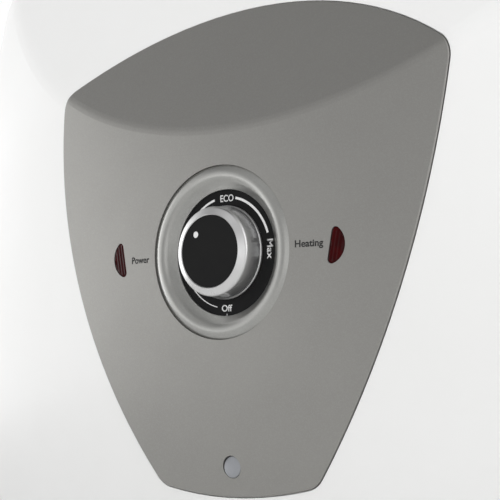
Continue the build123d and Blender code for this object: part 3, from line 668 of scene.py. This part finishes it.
def lensPiece(look, node, side):
    middle = look["width"] - look["curve"]
    half = math.sqrt((look["curve"] - look["tip"]) ** 2 - (look["tip"] - middle) ** 2) + look["tip"]
    lean = math.radians(look["lean"])
    vertices, faces = [], []
    columns, rows = look["columns"], look["rows"]
    for layer in range(2):
        for row in range(rows + 1):
            share = -math.cos(math.pi * row / rows)
            rise = share * half
            start, end = lensSpan(look, rise)
            for column in range(columns + 1):
                across = column / columns
                reach = start + (end - start) * across
                x = side * (look["x"] + reach * math.cos(lean) + rise * math.sin(lean))
                z = rise * math.cos(lean) - reach * math.sin(lean)
                border = min(1.0, 4 * min(across * (1 - across) * 2, (1 - abs(share)) * 1.2))
                crown = look["crown"] * math.sin(border * math.pi / 2)
                surface = domeY(x, z)
                wave = abs((reach / look["width"] * look["flutes"]) % 1.0 - 0.5) * min(2.0, border * 4)
                if layer == 0:
                    y = surface + look["sink"] - crown + wave * look["ridge"]
                else:
                    y = surface + look["depth"] - wave * look["fluteDepth"]
                vertices.append((knobX + x, y, knobZ + z))
    count = (rows + 1) * (columns + 1)

    def at(layer, row, column):
        return layer * count + row * (columns + 1) + column

    for row in range(rows):
        for column in range(columns):
            for layer in range(2):
                faces.append((at(layer, row, column), at(layer, row, column + 1),
                              at(layer, row + 1, column + 1), at(layer, row + 1, column)))
        for column in (0, columns):
            faces.append((at(0, row, column), at(0, row + 1, column),
                          at(1, row + 1, column), at(1, row, column)))
    for row in (0, rows):
        for column in range(columns):
            faces.append((at(0, row, column), at(0, row, column + 1),
                          at(1, row, column + 1), at(1, row, column)))
    mesh = meshFrom(node + "Glass", vertices, faces)
    solid = bmesh.new()
    solid.from_mesh(mesh)
    bmesh.ops.remove_doubles(solid, verts=solid.verts, dist=1e-6)
    bmesh.ops.dissolve_degenerate(solid, edges=solid.edges, dist=1e-7)
    bmesh.ops.recalc_face_normals(solid, faces=solid.faces)
    solid.to_mesh(mesh)
    solid.free()
    sharpen(mesh, 25)
    piece = addPiece(node + "Glass", mesh, "heater", lensFinish)
    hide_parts(node)


lensPiece(lamp, "power_lens", -1)
lensPiece(lamp, "heating_lens", 1)
print("lenses made")


# ---- screw cap ----

capLook = {
    "finish": "silverCap",
    "colours": ((0.335, 0.345, 0.365), (0.305, 0.315, 0.335)),
    "mottleScale": 120.0,
    "rough": (0.30, 0.42),
    "grain": (1800.0, 0.4, 0.0),
    "bump": (0.12, 0.03),
    "shader": {"Metallic": 0.6},
    "edgeRound": 0.55 * mm,
    "crown": 0.12 * mm,
}
capFinish = makeFinish(capLook["finish"], capLook)


def capPiece(look):
    low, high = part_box("screw_cap")
    radius = (high.x - low.x) / 2
    x, z = (low.x + high.x) / 2, (low.z + high.z) / 2
    rim, crown = look["edgeRound"], look["crown"]
    profile = [(0.0, low.y), (radius * 0.5, low.y + crown * 0.3), (radius - rim, low.y + crown)]
    for step in range(1, 7):
        turn = math.pi / 2 * step / 6
        profile.append((radius - rim + rim * math.sin(turn), low.y + crown + rim * (1 - math.cos(turn))))
    profile += [(radius, high.y - 0.2 * mm), (radius - 0.2 * mm, high.y), (0.0, high.y)]
    mesh = turnedMesh("capDisc", profile, 96, lambda u, v, y: (x + u, y, z + v))
    piece = addPiece("capDisc", mesh, "heater", capFinish)
    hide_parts("screw_cap")


capPiece(capLook)


# ---- pipes with their threads ----

pipeLook = {
    "finish": "plainSteel",
    "nodes": ("stat_pocket", "spindle", "knob_spring", "anode_holder"),
    "colours": ((0.60, 0.60, 0.60), (0.52, 0.52, 0.51)),
    "mottleScale": 70.0,
    "rough": (0.28, 0.42),
    "brush": ((1.0, 1.0, 0.03), 1400.0),
    "streakColour": (0.66, 0.66, 0.65),
    "bump": (0.12, 0.03),
    "shader": {"Metallic": 1.0},
    "threadLength": 16.0 * mm,
    "pitch": 1.814 * mm,
    "threadDepth": 1.1 * mm,
    "bore": 8.0 * mm,
    "majorRadius": 10.48 * mm,
}
steelFinish = dress(pipeLook)


def pipePiece(look, node):
    low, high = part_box(node)
    x, y = (low.x + high.x) / 2, (low.y + high.y) / 2
    radius = (high.x - low.x) / 2
    steps, perTurn = 48, 8
    rise = look["pitch"] / perTurn
    layers = int(look["threadLength"] / rise)
    vertices, faces = [], []

    def addRing(height, reachAt):
        for step in range(steps):
            angle = 2 * math.pi * step / steps
            reach = reachAt(angle, height)
            vertices.append((x + reach * math.cos(angle), y + reach * math.sin(angle), height))

    def threadReach(angle, height):
        along = (height - low.z) / look["pitch"] - angle / (2 * math.pi)
        wave = 1 - abs((along % 1.0) * 2 - 1)
        past = height - low.z
        fade = min(1.0, past / look["pitch"], (look["threadLength"] - past) / look["pitch"])
        return look["majorRadius"] - look["threadDepth"] * (1 - min(1.0, 1.25 * wave) * max(0.0, fade))

    addRing(low.z, lambda angle, height: look["bore"])
    for layer in range(layers + 1):
        addRing(low.z + layer * rise, threadReach)
    shoulder = low.z + look["threadLength"]
    addRing(shoulder + 0.2 * mm, lambda angle, height: radius - 0.25 * mm)
    addRing(shoulder + 0.5 * mm, lambda angle, height: radius)
    addRing(high.z, lambda angle, height: radius)
    addRing(high.z, lambda angle, height: look["bore"])
    rings = len(vertices) // steps
    for ring in range(rings):
        following = (ring + 1) % rings
        for step in range(steps):
            other = (step + 1) % steps
            faces.append((ring * steps + step, ring * steps + other, following * steps + other,
                          following * steps + step))
    mesh = meshFrom(node + "Turned", vertices, faces)
    sharpen(mesh, 35)
    piece = addPiece(node + "Turned", mesh, "heater", steelFinish)
    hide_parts(node)


for node in ("cold_pipe", "hot_pipe"):
    pipePiece(pipeLook, node)


# ---- casing screws with a cross recess ----

screwLook = {
    "finish": "zincPlate",
    "nodes": ("ring_studs", "flange_nuts", "hanger_posts", "hanger_plate", "cover_screw"),
    "colours": ((0.62, 0.63, 0.64), (0.54, 0.55, 0.56)),
    "mottleScale": 130.0,
    "rough": (0.30, 0.46),
    "brush": ((0.05, 1.0, 1.0), 900.0),
    "streakColour": (0.68, 0.69, 0.70),
    "bump": (0.10, 0.04),
    "wear": 0.3,
    "wearColour": (0.80, 0.80, 0.80),
    "shader": {"Metallic": 1.0},
    "crossReach": 2.3 * mm,
    "crossWidth": 0.55 * mm,
    "crossDepth": 0.75 * mm,
    "headRadius": 3.8 * mm,
    "headHeight": 1.2 * mm,
    "headRound": 0.35 * mm,
    "shankRadius": 2.0 * mm,
}
zincFinish = dress(screwLook)


def screwMesh(look, x, y, top, down, length):
    # a head disc as a polar grid pressed in by a cross, then its shank; down is -1 or 1 along z
    steps, rings = 64, 14
    reachTo = look["headRadius"] - look["headRound"]
    vertices, faces = [(x, y, top + down * look["crossDepth"])], []

    def addRing(reach, sinkAt):
        for step in range(steps):
            angle = 2 * math.pi * step / steps
            u, v = reach * math.cos(angle), reach * math.sin(angle)
            vertices.append((x + u, y + v, top + down * sinkAt(u, v)))

    def crossSink(u, v):
        nearest = min(abs(u), abs(v))
        reach = max(abs(u), abs(v))
        wall = min(1.0, max(0.0, (look["crossWidth"] * 1.5 - nearest) / (look["crossWidth"] * 0.6)))
        end = min(1.0, max(0.0, (look["crossReach"] - reach) / (look["crossReach"] * 0.45)))
        return look["crossDepth"] * min(wall, end)

    for ring in range(1, rings + 1):
        addRing(reachTo * ring / rings, crossSink)
    for turn in (0.5, 1.0):
        sweep = math.pi / 2 * turn
        drop = look["headRound"] * (1 - math.cos(sweep))
        addRing(reachTo + look["headRound"] * math.sin(sweep), lambda u, v, drop=drop: drop)
    addRing(look["headRadius"], lambda u, v: look["headHeight"])
    addRing(look["shankRadius"], lambda u, v: look["headHeight"])
    addRing(look["shankRadius"], lambda u, v: length)
    total = (len(vertices) - 1) // steps
    for step in range(steps):
        other = (step + 1) % steps
        faces.append((0, 1 + other, 1 + step))
        for ring in range(total - 1):
            base, following = 1 + ring * steps, 1 + (ring + 1) * steps
            faces.append((base + step, base + other, following + other, following + step))
    faces.append(tuple(range(1 + (total - 1) * steps, 1 + total * steps)))
    return vertices, faces


def screwPieces(look):
    low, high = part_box("shell_screws")
    y = (low.y + high.y) / 2
    reach = look["headRadius"]
    vertices, faces = [], []
    length = 5.2 * mm
    for x in (low.x + reach, high.x - reach):
        for top, down in ((high.z, -1), (low.z, 1)):
            made, sides = screwMesh(look, x, y, top, down, length)
            faces += [tuple(index + len(vertices) for index in side) for side in sides]
            vertices += made
    mesh = meshFrom("crossScrews", vertices, faces)
    sharpen(mesh, 32)
    piece = addPiece("crossScrews", mesh, "heater", zincFinish)
    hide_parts("shell_screws")


screwPieces(screwLook)
print("pipes and screws made")


# ---- finishes of the other parts ----

gland = {
    "finish": "glandGrey",
    "nodes": ("cable_gland", "gland_nut"),
    "colours": ((0.30, 0.31, 0.32), (0.26, 0.27, 0.28)),
    "mottleScale": 60.0,
    "rough": (0.38, 0.5),
    "grain": (1200.0, 0.6, 0.0),
    "bump": (0.25, 0.03),
    "wear": 0.2,
    "wearColour": (0.42, 0.43, 0.44),
}
dress(gland)

rubber = {
    "finish": "blackRubber",
    "nodes": ("wall_bumpers", "cover_seal", "flange_gasket"),
    "colours": ((0.022, 0.022, 0.023), (0.034, 0.033, 0.032)),
    "mottleScale": 50.0,
    "rough": (0.62, 0.8),
    "grain": (700.0, 0.8, 0.0),
    "bump": (0.35, 0.06),
    "dust": 0.25,
}
dress(rubber)

coldMark = {
    "finish": "blueCollar",
    "nodes": ("cold_collar",),
    "colours": ((0.045, 0.15, 0.52), (0.04, 0.13, 0.46)),
    "mottleScale": 60.0,
    "rough": (0.28, 0.4),
    "grain": (1500.0, 0.5, 0.0),
    "bump": (0.12, 0.03),
}
dress(coldMark)

hotMark = {
    "finish": "redCollar",
    "nodes": ("hot_collar", "reset_button"),
    "colours": ((0.55, 0.035, 0.03), (0.48, 0.03, 0.028)),
    "mottleScale": 60.0,
    "rough": (0.28, 0.4),
    "grain": (1500.0, 0.5, 0.0),
    "bump": (0.12, 0.03),
}
dress(hotMark)

enamel = {
    "finish": "blueEnamel",
    "nodes": ("tank", "tank_ring", "flange_plate", "element_sleeve"),
    "colours": ((0.035, 0.07, 0.16), (0.025, 0.05, 0.12)),
    "mottleScale": 30.0,
    "rough": (0.14, 0.26),
    "grain": (420.0, 1.0, 0.25),
    "flakeColour": (0.10, 0.15, 0.26),
    "bump": (0.20, 0.08),
    "wear": 0.25,
    "wearColour": (0.16, 0.18, 0.22),
    "shader": {"Coat Weight": 0.4, "Coat Roughness": 0.1},
}
dress(enamel)

foam = {
    "finish": "blownFoam",
    "nodes": ("front_foam", "rear_foam"),
    "colours": ((0.80, 0.70, 0.42), (0.70, 0.58, 0.32)),
    "mottleScale": 18.0,
    "rough": (0.82, 0.95),
    "grain": (380.0, 1.4, 0.3),
    "flakeColour": (0.86, 0.79, 0.56),
    "bump": (0.7, 0.4),
}
dress(foam)

ceramic = {
    "finish": "steatiteBody",
    "nodes": ("ceramic_core", "element_head"),
    "colours": ((0.80, 0.75, 0.64), (0.72, 0.67, 0.57)),
    "mottleScale": 90.0,
    "rough": (0.62, 0.78),
    "grain": (900.0, 0.9, 0.4),
    "flakeColour": (0.88, 0.84, 0.76),
    "bump": (0.35, 0.05),
}
dress(ceramic)

coil = {
    "finish": "oxidisedCoil",
    "nodes": ("heating_coils",),
    "colours": ((0.20, 0.18, 0.17), (0.13, 0.11, 0.10)),
    "mottleScale": 160.0,
    "rough": (0.45, 0.62),
    "brush": ((0.02, 1.0, 0.02), 1800.0),
    "streakColour": (0.30, 0.27, 0.25),
    "bump": (0.8, 0.2),
    "shader": {"Metallic": 0.9},
}
dress(coil)

brass = {
    "finish": "turnedBrass",
    "nodes": ("element_pins", "stat_stem", "stat_bush", "stat_blades", "cutout_blades", "terminal_screws",
              "earth_screw"),
    "colours": ((0.70, 0.52, 0.22), (0.60, 0.43, 0.18)),
    "mottleScale": 120.0,
    "rough": (0.24, 0.38),
    "brush": ((1.0, 0.05, 1.0), 1600.0),
    "streakColour": (0.78, 0.61, 0.30),
    "bump": (0.15, 0.03),
    "shader": {"Metallic": 1.0},
}
dress(brass)

phenolic = {
    "finish": "blackPhenolic",
    "nodes": ("stat_body", "cutout_body", "lamp_holders"),
    "colours": ((0.028, 0.027, 0.026), (0.042, 0.040, 0.038)),
    "mottleScale": 70.0,
    "rough": (0.40, 0.55),
    "grain": (1000.0, 0.7, 0.2),
    "flakeColour": (0.07, 0.065, 0.06),
    "bump": (0.25, 0.04),
}
dress(phenolic)

natural = {
    "finish": "naturalNylon",
    "nodes": ("terminal_block", "cold_diffuser"),
    "colours": ((0.78, 0.76, 0.68), (0.72, 0.70, 0.62)),
    "mottleScale": 60.0,
    "rough": (0.40, 0.55),
    "grain": (900.0, 0.6, 0.0),
    "bump": (0.2, 0.04),
    "shader": {"Subsurface Weight": 0.1, "Subsurface Scale": 0.002},
}
dress(natural)

anode = {
    "finish": "castMagnesium",
    "nodes": ("anode_rod",),
    "colours": ((0.52, 0.52, 0.50), (0.40, 0.40, 0.38)),
    "mottleScale": 110.0,
    "rough": (0.5, 0.7),
    "grain": (500.0, 1.2, 0.3),
    "flakeColour": (0.66, 0.66, 0.64),
    "bump": (0.5, 0.1),
    "shader": {"Metallic": 0.8},
}
dress(anode)

neon = {
    "finish": "lampGlass",
    "nodes": ("lamp_tubes",),
    "colours": ((0.90, 0.84, 0.78), (0.84, 0.76, 0.70)),
    "mottleScale": 200.0,
    "rough": (0.04, 0.10),
    "shader": {"Transmission Weight": 0.8, "IOR": 1.5},
}
dress(neon)

leadLooks = (
    ("brownSleeve", ("line_lead", "link_lead", "element_lead"), (0.16, 0.075, 0.035), (0.12, 0.055, 0.025)),
    ("blueSleeve", ("neutral_lead",), (0.035, 0.11, 0.42), (0.03, 0.09, 0.35)),
    ("greenSleeve", ("earth_lead",), (0.15, 0.38, 0.06), (0.12, 0.32, 0.05)),
    ("whiteSleeve", ("lamp_leads",), (0.80, 0.80, 0.77), (0.72, 0.72, 0.69)),
)
for finish, names, first, second in leadLooks:
    sleeve = {
        "finish": finish,
        "nodes": names,
        "colours": (first, second),
        "mottleScale": 140.0,
        "rough": (0.35, 0.5),
        "grain": (1300.0, 0.5, 0.0),
        "bump": (0.15, 0.03),
    }
    dress(sleeve)
print("inner finishes made")


# ---- studio ----

studio = {
    "floorGap": 0.5 * mm,
    "floorSize": 3.0,
    "floorColours": ((0.78, 0.78, 0.775), (0.75, 0.75, 0.745)),
    "base": 0.45,           # brightness of the room where no patch changes it
    "patches": (
        # azimuth, elevation, degrees of full effect, degrees where it ends, added brightness
(-105.0, -12.0, 15.0, 95.0, 0.75),      # wide window side
        (-88.0, 0.0, 4.0, 26.0, 1.2),           # its bright core
        (-52.0, -28.0, 10.0, 42.0, 0.7),        # pale floor in front of it
        (-67.0, 60.0, 15.0, 48.0, -0.56),       # dark ceiling corner
        (-25.0, 52.0, 6.0, 26.0, 0.45),         # lamp above the camera
        (26.0, 0.0, 8.0, 28.0, 0.6),            # pale wall beside the camera
        (62.0, 0.0, 10.0, 40.0, -0.3),          # dark gap beside it
        (105.0, 10.0, 20.0, 60.0, 1.2),         # second window
    ),
    "fills": (
        # name, azimuth, elevation, distance, width, height, power; for matt surfaces only
        ("frontFill", 25.0, 10.0, 2.2, 1.6, 1.6, 15.0),
        ("sideFill", 105.0, 5.0, 2.2, 1.6, 1.6, 8.0),
        ("topFill", -30.0, 70.0, 2.2, 1.8, 1.8, 11.0),
    ),
}


def toward(azimuth, elevation):
    a, e = math.radians(azimuth), math.radians(elevation)
    return Vector((math.sin(a) * math.cos(e), -math.cos(a) * math.cos(e), math.sin(e)))


def makeFloor(look):
    half = look["floorSize"] / 2
    level = cadBox[0].z - look["floorGap"]
    vertices = [(-half, -half, level), (half, -half, level), (half, half, level), (-half, half, level)]
    mesh = bpy.data.meshes.new("paleFloor")
    mesh.from_pydata(vertices, [], [(0, 1, 2, 3)])
    floor = bpy.data.objects.new("paleFloor", mesh)
    scene.collection.objects.link(floor)
    floorLook = {"colours": look["floorColours"], "mottleScale": 3.0, "rough": (0.6, 0.75)}
    mesh.materials.append(makeFinish("paleFloor", floorLook))


def makeRoom(look):
    world = bpy.data.worlds.new("studioRoom")
    scene.world = world
    world.use_nodes = True
    tree = world.node_tree
    background = tree.nodes["Background"]
    direction = addNode(tree, "ShaderNodeTexCoord").outputs["Generated"]
    glow = look["base"]
    for azimuth, elevation, full, end, added in look["patches"]:
        facing = addNode(tree, "ShaderNodeVectorMath", operation="DOT_PRODUCT")
        tree.links.new(direction, facing.inputs[0])
        facing.inputs[1].default_value = toward(azimuth, elevation)
        patch = addNode(tree, "ShaderNodeMapRange", interpolation_type="SMOOTHSTEP")
        limits = (math.cos(math.radians(end)), math.cos(math.radians(full)), 0.0, added)
        for socket, number in zip(("From Min", "From Max", "To Min", "To Max"), limits):
            patch.inputs[socket].default_value = number
        tree.links.new(facing.outputs["Value"], patch.inputs["Value"])
        glow = addMath(tree, "ADD", glow, patch.outputs["Result"])
    seen = addNode(tree, "ShaderNodeLightPath").outputs["Is Camera Ray"]
    strength = addSpread(tree, seen, 0.0, 1.0, glow, 1.0)
    tree.links.new(strength, background.inputs["Strength"])
    background.inputs["Color"].default_value = (1.0, 1.0, 1.0, 1.0)


def makeFills(look):
    aim = Vector((knobX, faceY, knobZ))
    for name, azimuth, elevation, distance, width, height, power in look["fills"]:
        away = toward(azimuth, elevation)
        data = bpy.data.lights.new(name, "AREA")
        data.shape = "RECTANGLE"
        data.size, data.size_y = width, height
        data.energy = power
        holder = bpy.data.objects.new(name, data)
        scene.collection.objects.link(holder)
        holder.location = aim + away * distance
        holder.rotation_mode = "QUATERNION"
        holder.rotation_quaternion = (-away).to_track_quat("-Z", "Y")
        holder.visible_glossy = False


makeFloor(studio)
makeRoom(studio)
makeFills(studio)
scene.view_settings.view_transform = "Standard"
print("studio made")
